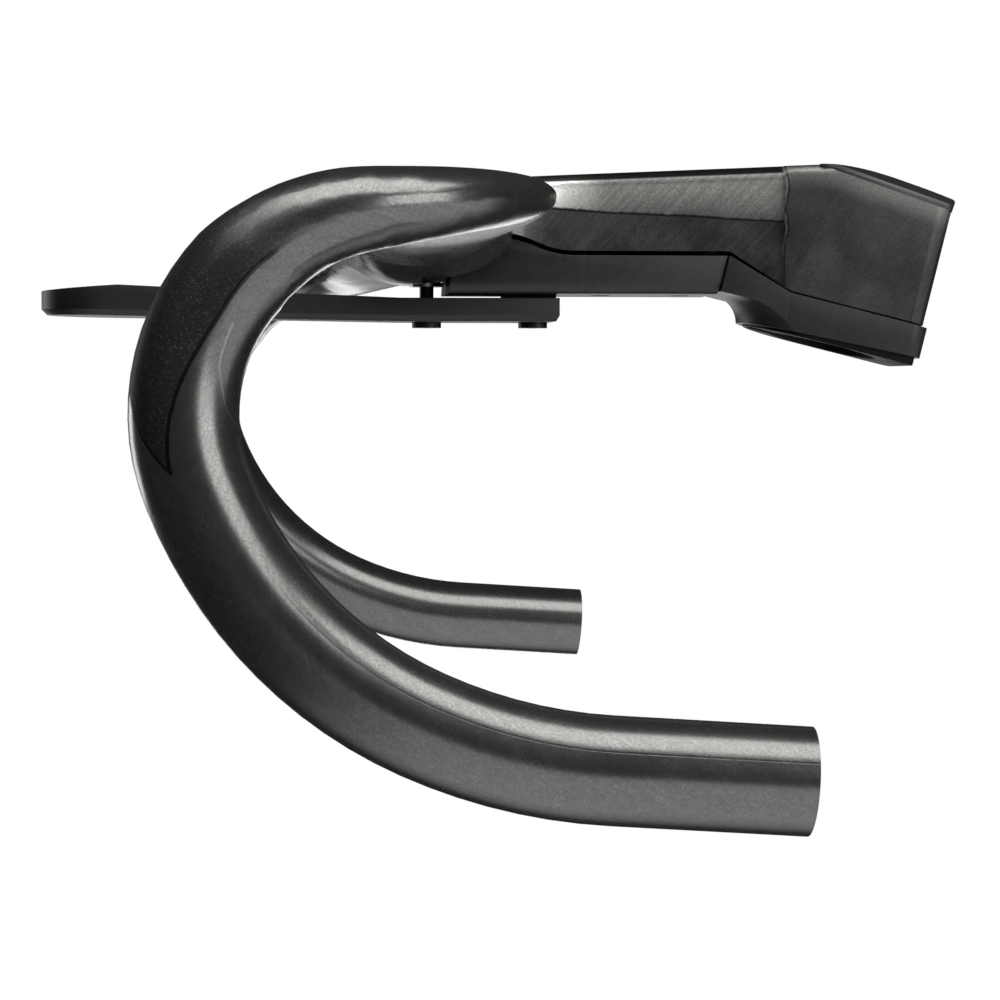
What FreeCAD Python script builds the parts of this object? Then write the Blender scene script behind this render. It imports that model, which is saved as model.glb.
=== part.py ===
import FreeCAD, Part
import math
import os
import re
import Sketcher

# Integrated handlebar and stem, in millimetres and degrees.
# +X points to the rider, -Y to the rider's left and +Z up.
# The origin is the middle of the steerer bore, on its axis.

Vector = FreeCAD.Vector
Placement = FreeCAD.Placement
Rotation = FreeCAD.Rotation

SIZES = [
    # Steerer clamp, along and square to the steerer
    ("steerer_tilt", 14.0),
    ("steerer_radius", 14.3),
    ("steerer_clearance", 0.05),
    ("clamp_drop", 17.4),
    ("clamp_rise", 17.8),
    ("clamp_back", 24.0),
    ("clamp_width", 37.0),
    ("clamp_corner", 5.0),
    ("clamp_lip", 16.0),
    ("clamp_slit", 1.6),
    ("clamp_run", 21.5),
    ("clamp_depth", 64.0),
    ("clamp_edge", 3.2),
    ("clamp_gap", 0.5),
    # Pinch bolts across the back of the clamp
    ("pinch_back", 18.4),
    ("pinch_pitch", 16.0),
    ("pinch_radius", 2.5),
    ("pinch_clearance", 0.2),
    ("pinch_seat", 10.5),
    ("pinch_head_radius", 4.2),
    ("pinch_head_height", 4.6),
    ("pinch_head_clearance", 0.25),
    ("pinch_washer_height", 1.0),
    ("pinch_nut_radius", 3.6),
    ("pinch_nut_face", 5.0),
    ("pinch_nut_length", 9.0),
    ("pinch_key", 4.0),
    ("pinch_key_depth", 2.6),
    ("thread_clearance", 0.05),
    # Stem between the bar and the clamp
    ("stem_length", 124.7),
    ("stem_width", 34.4),
    ("stem_top", 22.9),
    ("stem_top_slope", 2.6),
    ("stem_bend", 12.05),
    ("stem_wall", 3.6),
    ("stem_root_width", 60.0),
    ("stem_root_run", 44.0),
    ("stem_depth", 28.6),
    ("neck_depth", 44.0),
    ("stem_edge", 3.6),
    ("stem_root_edge", 12.5),
    ("channel_wall", 4.4),
    ("channel_ramp", 9.0),
    # Middle of the bar and its wings
    ("bar_rise", 1.6),
    ("wing_chord", 43.6),
    ("wing_thickness", 12.8),
    ("wing_tilt", 5.0),
    ("middle_chord", 46.0),
    ("middle_thickness", 28.8),
    ("middle_rise", 2.0),
    ("middle_back", 3.0),
    ("middle_span", 30.0),
    ("middle_taper", 42.0),
    # Shoulders and drops
    ("hood_width", 406.0),
    ("shoulder_radius", 38.0),
    ("ramp_slope", 7.8),
    ("ramp_run", 24.5),
    ("hook_radius", 44.7),
    ("hook_turn", 103.3),
    ("lower_radius", 92.1),
    ("lower_turn", 44.3),
    ("end_radius", 116.6),
    ("end_turn", 20.8),
    ("end_straight", 43.2),
    ("flare_angle", 5.0),
    ("round_run", 16.0),
    ("tube_diameter", 23.8),
    ("tube_lip", 0.02),
    ("end_bore_radius", 9.5),
    # Cover under the stem: all but the back screw and the joint lie behind the axis of the bar
    ("seam_gap", 1.3),
    ("cover_front", 9.6),
    ("cover_front_lean", 1.7),
    ("cover_front_height", 0.2),
    ("cover_hump_start", 33.7),
    ("cover_hump_drop", 1.2),
    ("cover_hump_radius", 32.0),
    ("cover_dip_start", 43.4),
    ("cover_dip_radius", 25.7),
    ("cover_edge", 3.1),
    ("cover_floor", 13.9),
    ("cover_wall", 2.2),
    ("cover_corner", 3.5),
    ("cover_joint", 35.7),
    ("cover_joint_gap", 0.4),
    ("pillar_radius", 4.6),
    ("pillar_foot", 2.4),
    ("cover_screw_front", 52.7),
    ("cover_screw_back", 49.0),
    ("cover_screw_radius", 1.5),
    ("cover_screw_clearance", 0.2),
    ("cover_screw_head", 2.75),
    ("cover_screw_head_height", 1.8),
    ("cover_screw_sink", 2.4),
    ("cover_screw_grip", 6.0),
    ("cover_screw_key", 2.0),
    ("cover_nut_radius", 2.5),
    ("cover_nut_length", 7.0),
    # Headset cover below the clamp, and its base
    ("headset_step", 1.4),
    ("headset_front_drop", 29.2),
    ("headset_back_drop", 26.7),
    ("headset_scoop_top", 22.4),
    ("headset_bow_back", 7.0),
    ("headset_bow_radius", 19.0),
    ("headset_scoop_radius", 8.5),
    ("headset_bore_clearance", 1.2),
    ("headset_collar", 1.6),
    ("hose_slot_front", 22.3),
    ("hose_slot_width", 9.0),
    ("base_drop", 29.2),
    ("base_thickness", 4.6),
    ("base_inset", 1.2),
    ("base_clearance", 0.2),
    # Cap over the top of the clamp
    ("cap_slope", 18.8),
    ("cap_front", 16.6),
    ("cap_back", 24.3),
    ("cap_height", 4.2),
    ("cap_nose", 0.4),
    ("cap_radius", 87.0),
    ("cap_edge", 1.4),
    ("cap_crown_radius", 42.0),
    ("cap_corner", 5.0),
    ("cap_peg_back", 19.0),
    ("cap_peg_side", 8.0),
    ("cap_peg_radius", 1.5),
    ("cap_peg_length", 3.8),
    ("cap_peg_clearance", 0.05),
    ("cap_relief", 0.2),
    ("cap_relief_height", 1.2),
    # Plate of the computer mount: its rear lies behind the axis of the bar, the rest ahead of it
    ("plate_rear", 39.5),
    ("plate_front", 106.3),
    ("plate_bend", 5.3),
    ("plate_bottom", 21.6),
    ("plate_nose_bottom", 19.9),
    ("plate_top", 15.0),
    ("plate_crown", 11.7),
    ("plate_crown_front", 84.3),
    ("plate_nose_top", 13.2),
    ("plate_half_width", 14.0),
    ("plate_waist", 11.5),
    ("plate_waist_front", 33.3),
    ("plate_head_radius", 18.0),
    ("socket_front", 85.3),
    ("socket_radius", 13.4),
    ("socket_clearance", 0.1),
    ("socket_depth", 4.0),
    ("socket_height", 3.4),
    ("socket_mouth", 7.8),
    ("socket_tab", 6.4),
    ("socket_tab_reach", 9.6),
    ("socket_dish", 1.2),
    ("socket_screw_circle", 11.5),
    ("socket_screw_radius", 1.0),
    ("socket_screw_head", 1.7),
    ("socket_screw_head_height", 1.2),
    ("socket_screw_key", 1.3),
    ("socket_screw_length", 6.0),
    ("socket_screw_clearance", 0.1),
    # Bolts and pad of the computer mount, behind the axis of the bar
    ("mount_bolt_front", 2.7),
    ("mount_bolt_rear", 33.2),
    ("mount_bolt_radius", 2.0),
    ("mount_bolt_clearance", 0.2),
    ("mount_head_radius", 4.15),
    ("mount_head_height", 1.7),
    ("mount_key", 2.5),
    ("mount_key_depth", 1.2),
    ("mount_grip", 8.0),
    ("mount_face", 10.4),
    ("mount_nut_radius", 3.4),
    ("mount_nut_length", 9.0),
    ("mount_flange_radius", 4.8),
    ("mount_flange_height", 1.2),
    ("nut_clearance", 0.05),
    ("pad_front", 24.7),
    ("pad_rear", 39.1),
    ("pad_half_width", 8.0),
    # How far a cutting solid runs past the piece
    ("cut_margin", 40.0),
]

doc = FreeCAD.newDocument("IntegratedHandlebarStem")
sheet = doc.addObject("Spreadsheet::Sheet", "Sizes")
for row, (name, value) in enumerate(SIZES, 1):
    sheet.set(f"A{row}", name)
    sheet.set(f"B{row}", str(value))
    sheet.setAlias(f"B{row}", name)
doc.recompute()


# Expressions: text on the names of the sheet


def worth(text):
    return float(sheet.evalExpression(text))


def formula(text):
    return re.sub(r"[a-z]+(?:_[a-z]+)+", lambda name: "Sizes." + name.group(), text)


def angle(name):
    return math.radians(worth(name))


def bind(thing, prop, text):
    thing.setExpression(prop, formula(text))


# The steerer leans back: up its axis, and square to it towards the rider
steerer_up = Vector(math.sin(angle("steerer_tilt")), 0, math.cos(angle("steerer_tilt")))
steerer_back = Vector(math.cos(angle("steerer_tilt")), 0, -math.sin(angle("steerer_tilt")))
steerer_turn = Rotation(Vector(0, 1, 0), worth("steerer_tilt"))
steerer_frame = Placement(Vector(0, 0, 0), steerer_turn)


def on_steerer(back, up, side="0"):
    return steerer_back * worth(back) + steerer_up * worth(up) + Vector(0, worth(side), 0)


def level_x(back, z):
    # X of the point at height z that lies this far behind the steerer axis
    return f"(({back}) + ({z}) * sin(steerer_tilt)) / cos(steerer_tilt)"


def frame_x(back, up):
    return f"(({back}) * cos(steerer_tilt) + ({up}) * sin(steerer_tilt))"


def frame_z(back, up):
    return f"(({up}) * cos(steerer_tilt) - ({back}) * sin(steerer_tilt))"


def ahead(name):
    # X of a place ahead of the axis of the bar
    return f"(-stem_length - {name})"


def behind(name):
    # X of a place behind the axis of the bar
    return f"({name} - stem_length)"


# Sketches and features


def new_body(label, place=None):
    body = doc.addObject("PartDesign::Body", label)
    body.Label = label
    if place is not None:
        body.Placement = place
    return body


def sketch_on(body, role, lift=None):
    sketch = body.newObject("Sketcher::SketchObject", body.Name + "_sketch")
    plane = [item for item in body.Origin.OriginFeatures if item.Role == role][0]
    sketch.AttachmentSupport = (plane, "")
    sketch.MapMode = "FlatFace"
    if lift is not None:
        bind(sketch, "AttachmentOffset.Base.z", lift)
    return sketch


def fix(sketch, kind, geometry, point, text):
    # A distance from the sketch's origin, bound to the sheet
    index = sketch.addConstraint(Sketcher.Constraint(kind, -1, 1, geometry, point, worth(text)))
    bind(sketch, f"Constraints[{index}]", text)


def outline(sketch, corners, bows=None):
    # A closed outline through its corners; a bow gives a side's radius and +1 left or -1 right
    bows = bows or {}
    points = [Vector(worth(x), worth(y), 0) for x, y in corners]
    first = sketch.GeometryCount
    ends = []
    for side, start in enumerate(points):
        end = points[(side + 1) % len(points)]
        if side not in bows:
            sketch.addGeometry(Part.LineSegment(start, end), False)
            ends.append((1, 2))
            continue
        radius, hand = bows[side]
        chord = end - start
        rise = worth(radius) - math.sqrt(max(worth(radius) ** 2 - chord.Length ** 2 / 4, 0.0))
        left = Vector(-chord.y, chord.x, 0).normalize()
        middle = (start + end) / 2 + left * rise * hand
        if hand > 0:
            sketch.addGeometry(Part.Arc(end, middle, start), False)
            ends.append((2, 1))
        else:
            sketch.addGeometry(Part.Arc(start, middle, end), False)
            ends.append((1, 2))
    for side, corner in enumerate(corners):
        here = first + side
        after = (side + 1) % len(points)
        sketch.addConstraint(
            Sketcher.Constraint("Coincident", here, ends[side][1], first + after, ends[after][0])
        )
        fix(sketch, "DistanceX", here, ends[side][0], corner[0])
        fix(sketch, "DistanceY", here, ends[side][0], corner[1])
        if side in bows:
            index = sketch.addConstraint(Sketcher.Constraint("Radius", here, worth(bows[side][0])))
            bind(sketch, f"Constraints[{index}]", bows[side][0])
    return sketch


def circle(sketch, x, y, radius):
    spot = Vector(worth(x), worth(y), 0)
    here = sketch.addGeometry(Part.Circle(spot, Vector(0, 0, 1), worth(radius)), False)
    index = sketch.addConstraint(Sketcher.Constraint("Radius", here, worth(radius)))
    bind(sketch, f"Constraints[{index}]", radius)
    fix(sketch, "DistanceX", here, 3, x)
    fix(sketch, "DistanceY", here, 3, y)
    return sketch


def rectangle(sketch, low_x, high_x, low_y, high_y):
    return outline(sketch, [(low_x, low_y), (high_x, low_y), (high_x, high_y), (low_x, high_y)])


def pad(body, sketch, length, sides="One side", reverse=False):
    feature = body.newObject("PartDesign::Pad", body.Name + "_pad")
    feature.Profile = sketch
    feature.SideType = sides
    feature.Reversed = reverse
    bind(feature, "Length", length)
    return feature


def pocket(body, sketch, length, sides="One side", reverse=False):
    feature = body.newObject("PartDesign::Pocket", body.Name + "_pocket")
    feature.Profile = sketch
    feature.SideType = sides
    feature.Reversed = reverse
    bind(feature, "Length", length)
    return feature


def revolve(body, sketch):
    feature = body.newObject("PartDesign::Revolution", body.Name + "_turn")
    feature.Profile = sketch
    feature.ReferenceAxis = (sketch, ["V_Axis"])
    feature.Angle = 360
    return feature


def edges_of(feature, test):
    doc.recompute()
    names = []
    for number, edge in enumerate(feature.Shape.Edges, 1):
        if test(edge):
            names.append(f"Edge{number}")
    return (feature, names)


def fillet(body, edges, radius):
    feature = body.newObject("PartDesign::Fillet", body.Name + "_fillet")
    feature.Base = edges
    bind(feature, "Radius", radius)
    return feature


def is_near(value, text):
    return abs(value - worth(text)) < 0.01


def middle_of(edge):
    return edge.valueAt((edge.FirstParameter + edge.LastParameter) / 2)


# Turned pieces: screws with a hex socket, rings and flanged nuts


def turned(label, corners, place):
    body = new_body(label, place)
    revolve(body, outline(sketch_on(body, "XZ_Plane"), corners))
    return body


def bolt(label, head, height, radius, length, key, depth, place):
    # The head stands on the seat at the local origin, and the shank points down
    corners = [
        ("0", f"-({length})"),
        (radius, f"-({length})"),
        (radius, "0"),
        (head, "0"),
        (head, height),
        ("0", height),
    ]
    body = turned(label, corners, place)
    socket = sketch_on(body, "XY_Plane", height)
    corner = f"({key}) / 2 / cos(30)"
    flats = []
    for step in range(6):
        flats.append((f"({corner}) * cos({60 * step})", f"({corner}) * sin({60 * step})"))
    outline(socket, flats)
    pocket(body, socket, depth)
    return body


def ring(label, inner, outer, low, high, place):
    return turned(label, [(inner, low), (outer, low), (outer, high), (inner, high)], place)


# Solids that are joined to the body of the bar, or cut out of it


def cylinder(label, radius, height, place):
    tool = doc.addObject("Part::Cylinder", label)
    bind(tool, "Radius", radius)
    bind(tool, "Height", height)
    tool.Placement = place
    return tool


def upright(label, x, low, high, radius):
    return cylinder(label, radius, f"({high}) - ({low})", Placement(Vector(worth(x), 0, worth(low)), Rotation()))


def across(label, back, up, low, high, radius):
    # A cylinder along Y, at a place beside the steerer
    turn = Rotation(Vector(1, 0, 0), -90)
    return cylinder(label, radius, f"({high}) - ({low})", Placement(on_steerer(back, up, low), turn))


def join(label, things):
    fused = doc.addObject("Part::MultiFuse", label)
    fused.Shapes = things
    fused.Refine = False
    return fused


def cut(label, base, tool):
    result = doc.addObject("Part::Cut", label)
    result.Base = base
    result.Tool = tool
    result.Refine = False
    return result


def mirrored(source, label):
    mirror = doc.addObject("Part::Mirroring", label)
    mirror.Source = source
    mirror.Base = Vector(0, 0, 0)
    mirror.Normal = Vector(0, 1, 0)
    return mirror


def loft(label, wires):
    sections = []
    for number, wire in enumerate(wires):
        section = doc.addObject("Part::Feature", f"{label}_section_{number}")
        section.Shape = wire
        sections.append(section)
    solid = doc.addObject("Part::Loft", label)
    solid.Sections = sections
    solid.Solid = True
    return solid


# Sections of the lofts


def oval(centre, chord, normal, half_chord, half_height, squareness, count=20):
    # A superellipse: squareness 2 is an ellipse, more is boxier, less is pointed
    points = []
    for step in range(count):
        turn = 2 * math.pi * step / count
        along, up = math.cos(turn), math.sin(turn)
        reach = (abs(along) ** squareness + abs(up) ** squareness) ** (-1 / squareness)
        points.append(centre + chord * (half_chord * along * reach) + normal * (half_height * up * reach))
    # Even parameters, so that all sections of a loft share their knots
    curve = Part.BSplineCurve()
    curve.interpolate(points, PeriodicFlag=True, Parameters=list(range(count + 1)))
    return Part.Wire(curve.toShape())


def smooth(share):
    share = min(max(share, 0.0), 1.0)
    return share * share * (3 - 2 * share)


def mix(first, last, share):
    return first + (last - first) * share


def frame_on(tangent, chord):
    tangent = Vector(tangent).normalize()
    chord = (chord - tangent * chord.dot(tangent)).normalize()
    return chord, tangent.cross(chord)


# Centre line of the left half of the bar: wing, shoulder, drop
bar_x = -worth("stem_length")
bar_z = worth("bar_rise")
shoulder = worth("shoulder_radius")
shoulder_y = worth("hood_width") / 2 - shoulder
shoulder_run = shoulder * math.pi / 2
wing_squareness = 2.2
thickness_lag = 1.3


def drop_pieces():
    # Side view after the wing axis: the length of each piece, and its radius where it bends
    pieces = [(worth("ramp_run"), None)]
    for bend in ("hook", "lower", "end"):
        radius = worth(f"{bend}_radius")
        pieces.append((radius * angle(f"{bend}_turn"), radius))
    pieces.append((worth("end_straight"), None))
    return pieces


def drop_point(run):
    # Place and heading in the side view, a distance along the drop from the wing axis
    x, z = bar_x, bar_z
    heading = math.pi + angle("ramp_slope")
    for length, radius in drop_pieces():
        part = min(run, length)
        if radius is None:
            x += part * math.cos(heading)
            z += part * math.sin(heading)
        else:
            turned_to = heading + part / radius
            x += radius * (math.sin(turned_to) - math.sin(heading))
            z -= radius * (math.cos(turned_to) - math.cos(heading))
            heading = turned_to
        run -= part
        if run <= 0:
            break
    return x, z, heading


def run_at(forward):
    # Distance along the drop at which it is this far ahead of the wing axis
    low, high = 0.0, worth("ramp_run") + worth("hook_radius")
    for _ in range(40):
        middle = (low + high) / 2
        if bar_x - drop_point(middle)[0] < forward:
            low = middle
        else:
            high = middle
    return (low + high) / 2


def round_section(travelled):
    # Half chord, half height and squareness, a distance after the start of the shoulder
    share = min(travelled / (shoulder_run + worth("round_run")), 1.0)
    half_chord = mix(worth("wing_chord"), worth("tube_diameter"), smooth(share)) / 2
    half_height = mix(worth("wing_thickness"), worth("tube_diameter"), share ** thickness_lag) / 2
    return half_chord, half_height, mix(wing_squareness, 2.0, share)


def wing_station(y, wall):
    # Deep and thick at the stem, thinning to the wing
    share = smooth((y - worth("middle_span") / 2) / worth("middle_taper"))
    x = mix(bar_x + worth("middle_back"), bar_x, share)
    z = mix(bar_z + worth("middle_rise"), bar_z, share)
    lean = angle("wing_tilt")
    chord, normal = frame_on(Vector(0, -1, 0), Vector(math.cos(lean), 0, math.sin(lean)))
    half_chord = mix(worth("middle_chord"), worth("wing_chord"), share) / 2
    half_height = mix(worth("middle_thickness"), worth("wing_thickness"), share) / 2
    return oval(Vector(x, -y, z), chord, normal, half_chord - wall, half_height - wall, wing_squareness)


def shoulder_station(turn, wall):
    # A quarter turn in plan from the wing to the drop, while the section grows round
    x, z, heading = drop_point(run_at(shoulder * (1 - math.cos(turn))))
    centre = Vector(x, -shoulder_y - shoulder * math.sin(turn), z)
    tangent = Vector(-math.sin(turn), -math.cos(turn), -math.sin(turn) * math.tan(heading))
    lean = mix(angle("wing_tilt"), 0.0, turn / (math.pi / 2))
    chord, normal = frame_on(tangent, Vector(math.cos(turn), -math.sin(turn), math.tan(lean)))
    half_chord, half_height, squareness = round_section(shoulder * turn)
    return oval(centre, chord, normal, half_chord - wall, half_height - wall, squareness)


top_run = run_at(shoulder)
top_z = drop_point(top_run)[1]
drop_length = sum(length for length, radius in drop_pieces())
out_share, down_share = math.sin(angle("flare_angle")), math.cos(angle("flare_angle"))


def drop_frame(run):
    # The plane of the drop leans outwards as it goes down
    x, z, heading = drop_point(run)
    depth = z - top_z
    centre = Vector(x, -shoulder_y - shoulder + depth * out_share, top_z + depth * down_share)
    tangent = Vector(math.cos(heading), math.sin(heading) * out_share, math.sin(heading) * down_share)
    return centre, tangent


def drop_station(run, wall):
    centre, tangent = drop_frame(run)
    chord, normal = frame_on(tangent, Vector(0, -1, 0))
    half_chord, half_height, squareness = round_section(shoulder_run + run - top_run)
    return oval(centre, chord, normal, half_chord - wall, half_height - wall, squareness)


round_end = top_run + worth("round_run")


def whole_wing(label, wall):
    # Sections of the left half from the middle out to where the drop is round, and their mirror images
    half_middle = worth("middle_span") / 2
    wing_start = half_middle + worth("middle_taper")
    shoulder_steps = 6
    wires = [wing_station(half_middle, wall)]
    for share in (0.33, 0.67, 1.0):
        wires.append(wing_station(mix(half_middle, wing_start, share), wall))
    wires.append(wing_station(mix(wing_start, shoulder_y, 0.5), wall))
    for step in range(shoulder_steps + 1):
        wires.append(shoulder_station(math.pi / 2 * step / shoulder_steps, wall))
    for share in (0.5, 1.0):
        wires.append(drop_station(mix(top_run, round_end, share), wall))
    far_wires = [wire.mirror(Vector(0, 0, 0), Vector(0, 1, 0)) for wire in reversed(wires)]
    return loft(label, far_wires + [wing_station(0, wall)] + wires)


def drop_tube(label, radius, beyond):
    # A round section swept along the arcs of the drop, to its straight end
    edges = []
    start = 0.0
    for length, bend in drop_pieces():
        end = start + length
        low = max(start, round_end)
        if low < end and bend is not None:
            spots = [drop_frame(mix(low, end, share))[0] for share in (0, 0.5, 1)]
            edges.append(Part.Arc(*spots).toShape())
        elif low < end:
            last, tangent = drop_frame(end)
            edges.append(Part.LineSegment(drop_frame(low)[0], last + tangent * beyond).toShape())
        start = end
    spine = doc.addObject("Part::Feature", f"{label}_spine")
    spine.Shape = Part.Wire(edges)
    section = doc.addObject("Part::Circle", f"{label}_section")
    section.Radius = radius
    centre, tangent = drop_frame(round_end)
    section.Placement = Placement(centre, Rotation(Vector(0, 0, 1), tangent))
    tube = doc.addObject("Part::Sweep", label)
    tube.Sections = [section]
    tube.Spine = (spine, [f"Edge{number + 1}" for number in range(len(edges))])
    tube.Solid = True
    return tube


# The stem and the clamp: boxes with rounded edges, widest at the bar


def rounded_box(x, width, top, depth, edge):
    spots = []
    for hand, lift in ((-1, 1), (-1, -1), (1, -1), (1, 1)):
        y = hand * (width / 2 - edge)
        z = top - depth / 2 + lift * (depth / 2 - edge)
        reach = edge / math.sqrt(2)
        beside = Vector(x, y + hand * edge, z)
        bend = Vector(x, y + hand * reach, z + lift * reach)
        level = Vector(x, y, z + lift * edge)
        spots.append((level, bend, beside) if hand != lift else (beside, bend, level))
    sides = []
    for corner, spot in enumerate(spots):
        after = spots[(corner + 1) % len(spots)]
        sides.append(Part.Arc(*spot).toShape())
        sides.append(Part.LineSegment(spot[2], after[0]).toShape())
    return Part.Wire(sides)


def stem_top_at(x):
    return worth("stem_top") + (x + worth("stem_bend")) * math.tan(angle("stem_top_slope"))


def stem_station(x, width, depth, edge):
    return rounded_box(x, width, stem_top_at(x), depth, edge)


def root_wires():
    # The stem spreads and grows round into the wings
    wires = []
    for share in (0.12, 0.34, 0.56, 0.78, 1.0):
        spread = mix(worth("stem_root_width"), worth("stem_width"), math.sin(share * math.pi / 2))
        edge = mix(worth("stem_root_edge"), worth("stem_edge"), smooth(share))
        wires.append(stem_station(bar_x + worth("stem_root_run") * share, spread, worth("stem_depth"), edge))
    return wires


def neck_wires():
    near = stem_station(bar_x + worth("stem_root_run"), worth("stem_width"), worth("stem_depth"), worth("stem_edge"))
    far_x = worth("clamp_corner") - worth("clamp_run")
    return [near, stem_station(far_x, worth("stem_width"), worth("neck_depth"), worth("stem_edge"))]


def clamp_wires():
    wires = []
    for x in (-worth("clamp_run"), worth("clamp_back") + worth("clamp_rise")):
        wires.append(stem_station(x, worth("clamp_width"), worth("clamp_depth"), worth("clamp_edge")))
    return wires


outer_radius = worth("tube_diameter / 2 + tube_lip")
inner_radius = worth("end_bore_radius")
inner_wall = worth("tube_diameter / 2 - end_bore_radius + tube_lip")
drop_left = drop_tube("DropLeft", outer_radius, 0.0)
hollow_left = drop_tube("HollowLeft", inner_radius, worth("end_bore_radius"))
whole_bar = join("WholeBar", [whole_wing("Wing", 0.0), drop_left, mirrored(drop_left, "DropRight")])
hollow = join("Hollow", [whole_wing("WingHollow", inner_wall), hollow_left, mirrored(hollow_left, "HollowRight")])
root_and_neck = join("RootAndNeck", [loft("Root", root_wires()), loft("Neck", neck_wires())])
stem = join("Stem", [root_and_neck, loft("Clamp", clamp_wires())])
solid = join("BarAndStem", [whole_bar, stem])

# Space under the stem and clamp for the two covers, with the seam all round
underside = new_body("UndersideSpace")
seam_edge = "seam_gap - cover_edge"
cover_start = behind("cover_front")
clamp_far = "clamp_back + cut_margin"
outline(
    sketch_on(underside, "XZ_Plane"),
    [
        (f"{cover_start} - cover_front_lean - seam_gap", "-cover_floor - cut_margin"),
        (frame_x(clamp_far, "-clamp_drop"), "-cover_floor - cut_margin"),
        (frame_x(clamp_far, "-clamp_drop"), frame_z(clamp_far, "-clamp_drop")),
        (frame_x("-clamp_lip", "-clamp_drop"), frame_z("-clamp_lip", "-clamp_drop")),
        (level_x("-cover_joint", seam_edge), seam_edge),
        (behind("cover_dip_start"), seam_edge),
        (behind("cover_hump_start"), "seam_gap - cover_hump_drop"),
        (f"{cover_start} - seam_gap", "seam_gap + cover_front_height"),
        (f"{cover_start} - cover_front_lean - seam_gap", "-cover_floor"),
    ],
    {5: ("cover_dip_radius - seam_gap", 1), 6: ("cover_hump_radius + seam_gap", -1)},
)
pad(underside, underside.Group[-1], "clamp_width + seam_gap * 8", "Symmetric")

# Duct for the hoses inside the stem, round the pillars that take the screws
duct = new_body("Duct")
duct_front = "-stem_length + middle_back"
duct_top = "stem_top - stem_wall"
duct_back = "-steerer_radius - channel_wall"
outline(
    sketch_on(duct, "XZ_Plane"),
    [
        (duct_front, "-cover_floor"),
        (frame_x(duct_back, "-clamp_drop - cover_floor"), frame_z(duct_back, "-clamp_drop - cover_floor")),
        (frame_x(duct_back, "0"), frame_z(duct_back, "0")),
        (f"{level_x(duct_back, duct_top)} - channel_ramp", duct_top),
        (duct_front, f"{duct_top} - (stem_length - middle_back - stem_bend) * tan(stem_top_slope)"),
    ],
)
pad(duct, duct.Group[-1], "stem_width - stem_wall * 2", "Symmetric")
screw_places = {
    "mount": behind("mount_bolt_rear"),
    "front": behind("cover_screw_front"),
    "back": "-cover_screw_back",
}
pillars = []
for place_name, x in screw_places.items():
    pillars.append(upright(f"Pillar_{place_name}", x, "pillar_foot", "stem_top", "pillar_radius"))
duct_space = cut("DuctSpace", duct, join("Pillars", pillars))

# Back of the clamp, rounded, and the plane under the cap
clamp_trim = new_body("ClampTrim", steerer_frame)
half_clamp = "clamp_width / 2"
outline(
    sketch_on(clamp_trim, "XY_Plane"),
    [
        ("clamp_back - clamp_corner", "-cut_margin"),
        ("clamp_back + cut_margin", "-cut_margin"),
        ("clamp_back + cut_margin", "cut_margin"),
        ("clamp_back - clamp_corner", "cut_margin"),
        ("clamp_back - clamp_corner", half_clamp),
        ("clamp_back", f"{half_clamp} - clamp_corner"),
        ("clamp_back", f"clamp_corner - {half_clamp}"),
        ("clamp_back - clamp_corner", f"-{half_clamp}"),
    ],
    {4: ("clamp_corner", 1), 6: ("clamp_corner", 1)},
)
pad(clamp_trim, clamp_trim.Group[-1], "cut_margin * 3", "Symmetric")

cap_frame = Placement(steerer_up * worth("clamp_rise"), Rotation(Vector(0, 1, 0), worth("cap_slope")))
cap_space = new_body("CapSpace", cap_frame)
rectangle(sketch_on(cap_space, "XY_Plane"), "-cut_margin", "cut_margin", "-cut_margin", "cut_margin")
pad(cap_space, cap_space.Group[-1], "cut_margin")

# Bore, slit and bolt holes of the clamp
bore_place = Placement(steerer_up * -worth("cut_margin"), steerer_turn)
bore = cylinder("SteererBore", "steerer_radius + steerer_clearance", "cut_margin * 2", bore_place)
slit = new_body("ClampSlit", steerer_frame)
rectangle(sketch_on(slit, "XY_Plane"), "0", "clamp_back + cut_margin", "-clamp_slit / 2", "clamp_slit / 2")
pad(slit, slit.Group[-1], "cut_margin * 2", "Symmetric")
pinch_heights = {"upper": "pinch_pitch / 2", "lower": "-pinch_pitch / 2"}
nut_end = "-pinch_nut_face - pinch_nut_length"
tools = [bore, slit]
for spot, up in pinch_heights.items():
    hole = "pinch_radius + pinch_clearance"
    tools.append(across(f"PinchHole_{spot}", "pinch_back", up, nut_end, "pinch_seat", hole))
    head = "pinch_head_radius + pinch_head_clearance"
    tools.append(across(f"PinchHead_{spot}", "pinch_back", up, "pinch_seat", "cut_margin", head))
    nut = "pinch_nut_radius + nut_clearance"
    tools.append(across(f"PinchNut_{spot}", "pinch_back", up, nut_end, "-pinch_nut_face", nut))
for hand in (-1, 1):
    spot = cap_frame.multVec(Vector(worth("cap_peg_back"), hand * worth("cap_peg_side"), -worth("cap_peg_length")))
    peg_place = Placement(spot, cap_frame.Rotation)
    peg_hole = "cap_peg_radius + cap_peg_clearance"
    tools.append(cylinder(f"PegHole_{hand + 1}", peg_hole, "cap_peg_length * 2", peg_place))

# Holes for the threaded inserts, and the seat of the front one under the bar
front_bolt = behind("mount_bolt_front")
nut_hole = "mount_nut_radius + nut_clearance"
tools.append(upright("FrontNutHole", front_bolt, "-mount_face - cut_margin", "bar_rise", nut_hole))
flange_seat = "mount_flange_radius + seam_gap / 2"
tools.append(upright("FrontNutSeat", front_bolt, "-mount_face - cut_margin", "-mount_face", flange_seat))
tools.append(
    upright("RearNutHole", screw_places["mount"], "-cover_floor", "pillar_foot + mount_nut_length", nut_hole)
)
for spot in ("front", "back"):
    top = "pillar_foot + cover_nut_length"
    hole = "cover_nut_radius + nut_clearance"
    tools.append(upright(f"CoverNutHole_{spot}", screw_places[spot], "-cover_floor", top, hole))

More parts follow.
